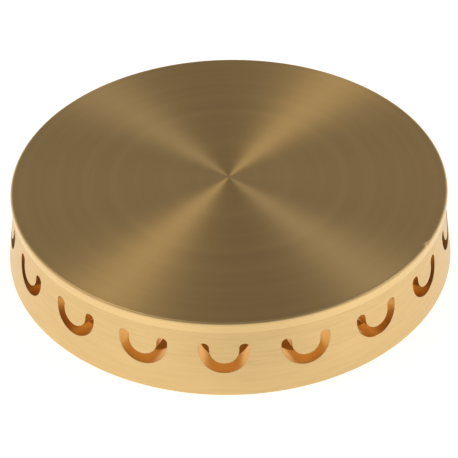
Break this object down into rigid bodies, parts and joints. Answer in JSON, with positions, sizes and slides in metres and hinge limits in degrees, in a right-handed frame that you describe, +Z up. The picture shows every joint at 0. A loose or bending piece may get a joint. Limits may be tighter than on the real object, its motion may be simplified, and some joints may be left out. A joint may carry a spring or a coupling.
{
  "type": "gas burner cap",
  "caption": "Round turned brass cap for a gas cooker burner: flat top, flared wall with a ring of U-shaped flame ports, hollow underside with a centring bore.",
  "frame": {"origin": "centre of the flat ring at the foot of the wall, on which the cap rests", "axes": "+Z up along the turning axis, out of the flat top; a flame port is centred on -Y"},
  "size_m": [0.104, 0.104, 0.0187],
  "materials": {
    "turned_brass": "fine-turned, satin"
  },
  "bodies": {
    "root": {"burner_cap": "turned_brass"}
  },
  "joints": []
}
